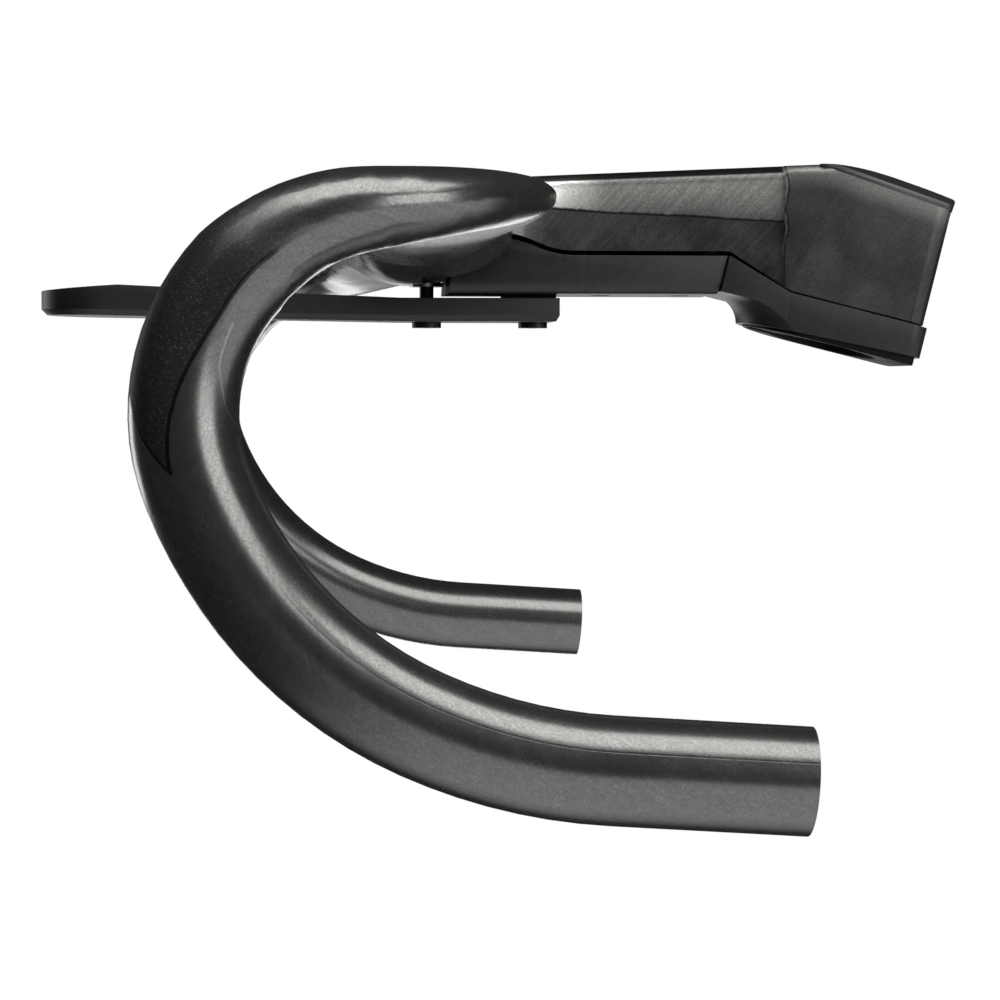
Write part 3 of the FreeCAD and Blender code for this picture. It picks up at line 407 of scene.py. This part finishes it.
def laminateFinish():
    finish, start, shader, place = newFinish("carbonLaminate", laminate["constants"])
    layup = start.make("ShaderNodeAttribute", {"attribute_name": "layup"}, {}, "Vector")
    run, flank, crest = layup.parts()
    x, y, z = place.parts()
    onStem = x.rise(*laminate["stemFrom"]) * (abs(y) < laminate["stemHalf"])
    onClamp = x.rise(*laminate["clampFrom"]) * onStem
    beforeClamp = onStem * (1 - onClamp)

    # fibres
    barHair = layup.stretch(fibres["barStretch"], fibres["barTurn"]).noise(1.0, detail=4.0, rough=0.6)
    stemHair = place.stretch(fibres["stemStretch"], fibres["stemTurn"]).noise(1.0, detail=4.0, rough=0.65)
    hair = barHair + onStem * (stemHair - barHair)
    streak = hair.rise(*fibres["streak"])
    blotch = place.noise(fibres["cloudScale"], detail=4.0, rough=0.6)
    cloud = blotch.rise(*fibres["cloud"])
    speck = place.noise(fibres["speckScale"], detail=2.0, rough=0.6)

    # marks on the bar
    outer = flank > 0.0
    around = abs(start.make("ShaderNodeMath", {"operation": "ARCTAN2"}, {0: flank, 1: crest}))
    grip, gripLine = gripMarks(start, run, around)
    plyLine = plyEdgeMark(run, around) * outer
    partingLine = (crest + parting["below"]).line(*parting["width"]) * outer * run.rise(*parting["from"])

    # marks on the stem: painted light and shade on the panel, along the top edge and at the clamp
    wander = stemHair.swing() * litStemPanel["hairWander"] + blotch.swing() * litStemPanel["cloudWander"]
    fromEdge = z + x * litStemPanel["slope"] + wander - litStemPanel["height"]
    # the panel is the lit upper flank, painted brighter than the flank in shade below it
    panel = fromEdge.rise(*litStemPanel["edge"]) * beforeClamp
    # painted shade: a dark line along the lower edge of the panel, where the flank steps in
    panelShadeLine = (fromEdge + litStemPanel["lineBelow"]).line(*litStemPanel["lineWidth"]) * beforeClamp
    # front of the panel by the bar: smoother, and brighter by a painted highlight where the stem flares into
    # the wing
    rootGlossAndHighlight = panel * (1 - x.rise(*litStemPanel["polishEnd"]))
    rising = x * stemTopShade["rise"] + stemTopShade["height"]
    falling = x * stemTopShade["capFall"] + stemTopShade["capHeight"]
    fromTop = z - start.sum("MINIMUM", rising, falling)
    # painted shade along the top edges of the stem
    topShadeBand = fromTop.rise(*stemTopShade["band"]) * beforeClamp
    # painted light at the clamp step: a thin bright line, a painted highlight, and painted shade in the
    # groove behind it
    wave = place.noise(clampStepLight["waveScale"], detail=1.0, rough=0.5).swing()
    fromClampStep = x - clampStepLight["front"] + wave * clampStepLight["wave"]
    clampStepHighlight = fromClampStep.line(*clampStepLight["width"]) * onStem * (z > clampStepLight["low"])
    groove = (fromClampStep - clampStepLight["grooveBehind"]).line(*clampStepLight["grooveWidth"])
    groove = groove * onStem * (z > clampStepLight["grooveLow"])

    # brightness, from the ground to the marks
    level = laminate["tube"] + onStem * (laminate["stem"] - laminate["tube"])
    streakShare = 1 - onStem * fibres["stemLoss"] - onClamp * fibres["clampLoss"]
    cloudShare = fibres["cloudOnBar"] + onStem * (1 - fibres["cloudOnBar"])
    level = level + streak * fibres["level"] * streakShare + cloud * fibres["cloudLevel"] * cloudShare
    # painted light of the panel: its level, fibre streaks and root highlight, less painted shade under the
    # top edge, brighter towards the top
    shine = litStemPanel["level"] + streak * litStemPanel["streakLevel"] + rootGlossAndHighlight * litStemPanel["rootHighlightLevel"]
    shine = panel * shine * (1 - fromTop.rise(*litStemPanel["fade"]) * litStemPanel["topShadeShare"])
    level = level + shine * z.remap(*litStemPanel["shade"])
    # the clamp has its own lighter tone, and a painted highlight on its upper part
    clampToneAndHighlight = laminate["clampLift"] + fromTop.rise(*clampStepLight["upper"]) * clampStepLight["upperLevel"]
    level = level + onClamp * clampToneAndHighlight
    level = level + level * speck.swing() * fibres["speckLevel"]
    level = level * (1 - grip * gripArea["loss"])
    level = level + grip * speck.rise(*gripArea["specks"]) * gripArea["speckLevel"]
    # darkening marks: the grip outline and the parting line, and painted shade along the stem top, under the
    # panel and in the clamp groove
    losses = [
        (gripLine, gripArea["outlineLoss"]),
        (partingLine, parting["loss"]),
        (topShadeBand, stemTopShade["loss"]),
        (panelShadeLine, litStemPanel["lineLoss"]),
        (groove, clampStepLight["grooveLoss"]),
    ]
    for mark, loss in losses:
        level = level * (1 - mark * loss)
    # pale ply edge on the hook, and the painted highlight along the clamp step
    level = level + plyLine * plyEdge["level"] + clampStepHighlight * clampStepLight["level"]
    tones = {index: level * tone for index, tone in enumerate(laminate["tone"])}
    start.plug(shader, "Base Color", start.make("ShaderNodeCombineColor", {}, tones, "Color"))

    # gloss and relief
    rough = laminate["rough"] + cloud * fibres["cloudRough"] + grip * gripArea["rough"]
    rough = rough + onStem * laminate["stemRough"] - rootGlossAndHighlight * litStemPanel["polishRough"]
    start.plug(shader, "Roughness", rough + topShadeBand * stemTopShade["rough"])
    coat = laminate["coat"] - grip * gripArea["coatLoss"] - onStem * laminate["stemCoatLoss"]
    start.plug(shader, "Coat Weight", coat - topShadeBand * stemTopShade["coatLoss"])
    height = hair * fibres["height"] + speck * fibres["speckHeight"]
    height = height - gripLine * gripArea["outlineDepth"] - partingLine
    relief = {**laminate["bump"], "Height": height}
    start.plug(shader, "Normal", start.make("ShaderNodeBump", {}, relief, "Normal"))
    return finish


# work on the copied meshes: gap that is merged, angles in degrees, and steps of a rounded edge
meshWork = {
    "mergeGap": 0.00003,
    "flatAngle": 0.5,
    "roundAngle": 40,
    "roundSegments": 3,
    "smoothAngle": 35,
}


# a copy of a node, merged, that takes the node's place
def copyOf(nodeName, name):
    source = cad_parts[nodeName]
    piece = source.copy()
    piece.data = source.data.copy()
    piece.name = name
    bpy.context.scene.collection.objects.link(piece)
    bpy.context.view_layer.objects.active = piece
    piece.select_set(True)
    bpy.ops.object.mode_set(mode="EDIT")
    bpy.ops.mesh.select_all(action="SELECT")
    bpy.ops.mesh.remove_doubles(threshold=meshWork["mergeGap"])
    bpy.ops.object.mode_set(mode="OBJECT")
    return piece


def finishPiece(piece, nodeName, finish):
    piece.data.materials.clear()
    piece.data.materials.append(finish)
    piece.select_set(False)
    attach(piece, "root")
    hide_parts(nodeName)


# shading of the bar and stem: large faces lead on the stem, normals are averaged on the wing
# and exact on the round tube
skinWork = {
    "smoothAngle": 32,
    "faceWeight": 90,
    "rounds": 36,
    "stemFrom": -0.108,
    "stemHalf": 0.034,
    "roundFrom": 0.0515,
    "outerLeast": 0.0112,
    "rimFrom": 0.2605,
    "facing": 0.5,
}


# shading normals of the smooth areas, averaged with their neighbours
def evenNormals(piece, layup, outward, spots):
    mesh = piece.data
    ends = np.zeros(len(mesh.edges) * 2, dtype=np.int32)
    mesh.edges.foreach_get("vertices", ends)
    ends = ends.reshape(-1, 2)
    sharp = np.zeros(len(mesh.edges), dtype=bool)
    mesh.edges.foreach_get("use_edge_sharp", sharp)
    held = np.zeros(len(mesh.vertices), dtype=bool)
    held[ends[sharp].ravel()] = True
    normals = np.zeros(len(mesh.vertices) * 3)
    mesh.vertex_normals.foreach_get("vector", normals)
    normals = normals.reshape(-1, 3)
    free = ends[~held[ends].any(axis=1)]
    for _ in range(skinWork["rounds"]):
        total = normals.copy()
        np.add.at(total, free[:, 0], normals[free[:, 1]])
        np.add.at(total, free[:, 1], normals[free[:, 0]])
        normals = total / np.linalg.norm(total, axis=1, keepdims=True)
    corners = np.zeros(len(mesh.loops) * 3)
    mesh.corner_normals.foreach_get("vector", corners)
    corners = corners.reshape(-1, 3)
    owners = np.zeros(len(mesh.loops), dtype=np.int32)
    mesh.loops.foreach_get("vertex_index", owners)
    onStem = (spots[:, 0] > skinWork["stemFrom"]) * (np.abs(spots[:, 1]) < skinWork["stemHalf"])
    loose = ~(held + onStem)[owners]
    corners[loose] = normals[owners[loose]]
    # the drop is round, so its normals are those of the tube, but not on the end face at the rim
    size = np.linalg.norm(outward, axis=1)
    outward = (outward / size[:, None])[owners]
    onTube = ((layup[:, 0] > skinWork["roundFrom"]) * (size > skinWork["outerLeast"]))[owners]
    facing = (corners * outward).sum(axis=1) > skinWork["facing"]
    onTube *= facing + (layup[:, 0] < skinWork["rimFrom"])[owners]
    corners[onTube] = outward[onTube]
    mesh.normals_split_custom_set(corners.tolist())


def barSkin():
    skin = copyOf("bar_stem_body", "barStemSkin")
    bpy.ops.object.shade_smooth_by_angle(angle=math.radians(skinWork["smoothAngle"]))
    weighted = skin.modifiers.new("weighted", "WEIGHTED_NORMAL")
    weighted.weight = skinWork["faceWeight"]
    weighted.keep_sharp = True
    bpy.ops.object.modifier_apply(modifier="weighted")
    evenNormals(skin, *markLayup(skin))
    finishPiece(skin, "bar_stem_body", laminateFinish())


barSkin()
print("bar and stem skinned")

# moulded plastics and rubber: tones, gloss, size of the grain and of the clouds
plastics = {
    "coverPlastic": {
        "dark": 0.006, "light": 0.016, "rough": 0.42, "gloss": 0.42,
        "grain": 900.0, "cloud": 90.0, "bump": 0.3,
    },
    "basePlastic": {
        "dark": 0.003, "light": 0.006, "rough": 0.6, "gloss": 0.15,
        "grain": 900.0, "cloud": 60.0, "bump": 0.3,
    },
    "capGloss": {
        "dark": 0.018, "light": 0.03, "rough": 0.3, "gloss": 0.7,
        "grain": 700.0, "cloud": 40.0, "bump": 0.05,
    },
    "plateMatt": {
        "dark": 0.004, "light": 0.008, "rough": 0.45, "gloss": 0.45,
        "grain": 1100.0, "cloud": 70.0, "bump": 0.35,
    },
    "socketPlastic": {
        "dark": 0.014, "light": 0.024, "rough": 0.5, "gloss": 0.4,
        "grain": 900.0, "cloud": 80.0, "bump": 0.2,
    },
    "padRubber": {
        "dark": 0.008, "light": 0.014, "rough": 0.75, "gloss": 0.3,
        "grain": 1200.0, "cloud": 120.0, "bump": 0.4,
    },
}

# what all the mouldings share
moulding = {
    "refraction": 1.5,
    "cloud": (0.3, 0.7),
    "cloudShare": 0.6,
    "grain": (0.35, 0.7),
    "grainShare": 0.4,
    "grainRough": 0.12,
    "warmth": 0.02,
    "depth": 0.0001,
}


def mouldedFinish(name):
    look = plastics[name]
    constants = {"IOR": moulding["refraction"], "Specular IOR Level": look["gloss"]}
    finish, start, shader, place = newFinish(name, constants)
    cloud = place.noise(look["cloud"], detail=4.0, rough=0.6)
    grain = place.noise(look["grain"], detail=3.0, rough=0.6)
    share = cloud.rise(*moulding["cloud"]) * moulding["cloudShare"]
    share = share + grain.rise(*moulding["grain"]) * moulding["grainShare"]
    colour = start.tint(share, grey(look["dark"]), grey(look["light"], moulding["warmth"]))
    start.plug(shader, "Base Color", colour)
    start.plug(shader, "Roughness", look["rough"] + grain.swing() * moulding["grainRough"])
    relief = {"Strength": look["bump"], "Distance": moulding["depth"], "Height": grain}
    start.plug(shader, "Normal", start.make("ShaderNodeBump", {}, relief, "Normal"))
    return finish


# metals of the bolts, nuts and inserts
metals = {
    "blackSteel": {"tone": 0.02, "rough": 0.35, "metallic": 0.6},
    "turnedAlloy": {"tone": 0.5, "rough": 0.3, "metallic": 1.0},
}

# what both metals share: wear between two shares of the tone, and fine turning marks
machining = {
    "wearScale": 400.0,
    "wear": (0.4, 0.75),
    "worn": 0.8,
    "bright": 1.3,
    "marks": (300.0, 300.0, 4000.0),
    "marksRough": 0.15,
}


def metalFinish(name):
    look = metals[name]
    finish, start, shader, place = newFinish(name, {"Metallic": look["metallic"]})
    wear = place.noise(machining["wearScale"], detail=3.0, rough=0.6).rise(*machining["wear"])
    turning = place.stretch(machining["marks"]).noise(1.0, detail=2.0, rough=0.5)
    worn, bright = grey(look["tone"] * machining["worn"]), grey(look["tone"] * machining["bright"])
    start.plug(shader, "Base Color", start.tint(wear, worn, bright))
    start.plug(shader, "Roughness", look["rough"] + turning.swing() * machining["marksRough"])
    return finish


finishes = {name: mouldedFinish(name) for name in plastics}
finishes.update({name: metalFinish(name) for name in metals})

# moulded pieces by node: name, finish, slot, and width of the edge rounding
mouldedPieces = {
    "stem_under_cover": {
        "name": "stemUnderCover", "finish": "coverPlastic", "slot": "cover_plastic", "rounding": 0.00035,
    },
    "headset_cover": {
        "name": "headsetCover", "finish": "coverPlastic", "slot": "cover_plastic", "rounding": 0.00035,
    },
    "headset_base": {
        "name": "headsetBase", "finish": "basePlastic", "slot": "base_plastic", "rounding": 0.0003,
    },
    "top_cap": {
        "name": "topCap", "finish": "capGloss", "slot": "cap_plastic", "rounding": 0.0004,
    },
    "computer_mount_plate": {
        "name": "mountPlate", "finish": "plateMatt", "slot": "mount_plate", "rounding": 0.0003,
    },
    "computer_socket": {
        "name": "computerSocket", "finish": "socketPlastic", "slot": "socket_plastic", "rounding": 0.0002,
    },
}

# chamfer round the underside of the mount plate, which leaves out the holes of two bolts
plateChamfer = {
    "node": "computer_mount_plate",
    "width": 0.0016,
    "underside": -0.9,
    "side": 0.3,
    "bolts": ["mount_bolt_front", "mount_bolt_rear"],
    "holeReach": 0.006,
}


def middleOf(nodeName):
    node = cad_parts[nodeName]
    corners = [node.matrix_world @ Vector(corner) for corner in node.bound_box]
    return sum(corners, Vector()) / len(corners)


# bevels the outer edge of the underside, where a downward face meets an upright one
def chamferUnderside(piece):
    holes = [middleOf(bolt).xy for bolt in plateChamfer["bolts"]]
    bpy.ops.object.mode_set(mode="EDIT")
    bpy.ops.mesh.select_mode(type="EDGE")
    bpy.ops.mesh.select_all(action="DESELECT")
    shape = bmesh.from_edit_mesh(piece.data)
    for edge in shape.edges:
        tilts = sorted(face.normal.z for face in edge.link_faces)
        if len(tilts) != 2 or tilts[0] > plateChamfer["underside"] or abs(tilts[1]) > plateChamfer["side"]:
            continue
        spot = (edge.verts[0].co.xy + edge.verts[1].co.xy) / 2
        edge.select = all((spot - hole).length > plateChamfer["holeReach"] for hole in holes)
    bmesh.update_edit_mesh(piece.data)
    bpy.ops.mesh.bevel(offset=plateChamfer["width"], segments=1, affect="EDGES")
    bpy.ops.object.mode_set(mode="OBJECT")


def mouldedPiece(nodeName, look):
    piece = copyOf(nodeName, look["name"])
    bpy.ops.object.mode_set(mode="EDIT")
    bpy.ops.mesh.select_all(action="SELECT")
    bpy.ops.mesh.dissolve_limited(angle_limit=math.radians(meshWork["flatAngle"]))
    bpy.ops.object.mode_set(mode="OBJECT")
    if nodeName == plateChamfer["node"]:
        chamferUnderside(piece)
    rounding = piece.modifiers.new("rounding", "BEVEL")
    rounding.width = look["rounding"]
    rounding.segments = meshWork["roundSegments"]
    rounding.limit_method = "ANGLE"
    rounding.angle_limit = math.radians(meshWork["roundAngle"])
    rounding.use_clamp_overlap = True
    rounding.harden_normals = False
    bpy.ops.object.modifier_apply(modifier="rounding")
    bpy.ops.object.shade_smooth_by_angle(angle=math.radians(meshWork["smoothAngle"]))
    finishPiece(piece, nodeName, finishes[look["finish"]])


for nodeName, look in mouldedPieces.items():
    mouldedPiece(nodeName, look)
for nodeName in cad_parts:
    if nodeName == "bar_stem_body" or nodeName in mouldedPieces:
        continue
    metal = "turnedAlloy" if "insert" in nodeName or "nut" in nodeName else "blackSteel"
    dressNode(nodeName, finishes["padRubber" if nodeName == "mount_spacer_pad" else metal])
print("finishes on the nodes")

# studio: white floor and backdrop, a large soft box above, a side box, a rim box and a low card
studio = {
    "floorZ": -0.45,
    "floorSize": 12.0,
    "floorTone": 0.8,
    "floorRough": 0.9,
    "softBox": {"place": (-0.1, -0.56, 1.05), "aim": (-0.1, -0.1, 0.0), "size": (2.0, 0.85), "power": 20.5},
    "sideBox": {"place": (0.75, -1.05, 0.32), "aim": (-0.2, -0.2, -0.03), "size": (0.8, 0.7), "power": 6.1},
    "rimBox": {"place": (-1.1, 0.9, 0.0), "aim": (-0.2, -0.2, -0.03), "size": (0.5, 0.8), "power": 2.8},
    "lowCard": {"place": (-0.15, 0.55, -0.2), "aim": (-0.13, 0.0, -0.02), "size": (0.6, 0.2), "power": 0.65},
    "worldLevel": 0.025,
    "floorGlow": 1.05,
    "glowFront": (-9.0, -7.0),
    "glowBack": (-0.25, 0.9),
    "glowLeft": (-1.0, -0.15),
    "leastDown": 0.001,
}


def whiteFloor():
    bpy.ops.mesh.primitive_plane_add(size=studio["floorSize"], location=(0, 0, studio["floorZ"]))
    floor = bpy.context.active_object
    floor.name = "studioFloor"
    finish = bpy.data.materials.new("studioWhite")
    finish.use_nodes = True
    tree = finish.node_tree
    start = Strand(tree)
    shader = tree.nodes["Principled BSDF"]
    shader.inputs["Base Color"].default_value = grey(studio["floorTone"])
    shader.inputs["Roughness"].default_value = studio["floorRough"]
    seen = start.make("ShaderNodeLightPath", {}, {}, "Is Camera Ray")
    mirrored = start.make("ShaderNodeLightPath", {}, {}, "Is Glossy Ray")
    white = start.make("ShaderNodeEmission", {}, {"Color": grey(1.0), "Strength": 1.0})
    clear = start.make("ShaderNodeBsdfTransparent", {}, {})
    own = Strand(tree, shader.outputs["BSDF"])
    inMirror = start.make("ShaderNodeMixShader", {}, {0: mirrored, 1: own, 2: clear})
    mixed = start.make("ShaderNodeMixShader", {}, {0: seen, 1: inMirror, 2: white})
    tree.links.new(mixed.socket, tree.nodes["Material Output"].inputs["Surface"])
    floor.data.materials.append(finish)
    floor.select_set(False)


def softBox(name):
    look = studio[name]
    bpy.ops.object.light_add(type="AREA", location=look["place"])
    lamp = bpy.context.active_object
    lamp.name = name
    lamp.data.shape = "RECTANGLE"
    lamp.data.size, lamp.data.size_y = look["size"]
    lamp.data.energy = look["power"]
    lamp.visible_camera = False
    way = Vector(look["aim"]) - Vector(look["place"])
    lamp.rotation_euler = way.to_track_quat("-Z", "Y").to_euler()
    lamp.select_set(False)


def backdropLight():
    world = bpy.data.worlds.new("studioWorld")
    bpy.context.scene.world = world
    world.use_nodes = True
    start = Strand(world.node_tree)
    seen = start.make("ShaderNodeLightPath", {}, {}, "Is Camera Ray")
    mirrored = start.make("ShaderNodeLightPath", {}, {}, "Is Glossy Ray")
    # mirrored in the part, the table is bright below and in front, and dark behind and to the left
    across, along, up = start.make("ShaderNodeTexCoord", {}, {}, "Generated").parts()
    down = start.sum("MAXIMUM", 0 - up, studio["leastDown"])
    ahead, aside = along / down, across / down
    glow = ahead.rise(*studio["glowFront"]) * (1 - ahead.rise(*studio["glowBack"]))
    glow = glow * aside.rise(*studio["glowLeft"]) * (up < 0.0)
    level = seen * (1 - studio["worldLevel"]) + studio["worldLevel"] + mirrored * glow * studio["floorGlow"]
    background = world.node_tree.nodes["Background"]
    paper = start.make("ShaderNodeCombineColor", {}, {0: level, 1: level, 2: level}, "Color")
    start.plug(background, "Color", paper)


whiteFloor()
for lampName in ("softBox", "sideBox", "rimBox", "lowCard"):
    softBox(lampName)
backdropLight()
bpy.context.scene.view_settings.view_transform = "Standard"

# camera of the photograph: low, beside the left drop
camera = {
    "place": (-0.1767, -0.8295, -0.04),
    "yaw": 5.221,
    "pitch": 2.242,
    "lens": 104.4,
    "sensor": 36.0,
    "nearest": 0.01,
}


def photoCamera():
    bpy.ops.object.camera_add(location=camera["place"])
    eye = bpy.context.active_object
    yaw, pitch = math.radians(camera["yaw"]), math.radians(camera["pitch"])
    way = Vector((math.sin(yaw) * math.cos(pitch), math.cos(yaw) * math.cos(pitch), -math.sin(pitch)))
    eye.rotation_euler = way.to_track_quat("-Z", "Y").to_euler()
    eye.data.sensor_width = camera["sensor"]
    eye.data.lens = camera["lens"]
    eye.data.clip_start = camera["nearest"]
    eye.select_set(False)
    bpy.context.scene.camera = eye


photoCamera()
print("studio and camera set")
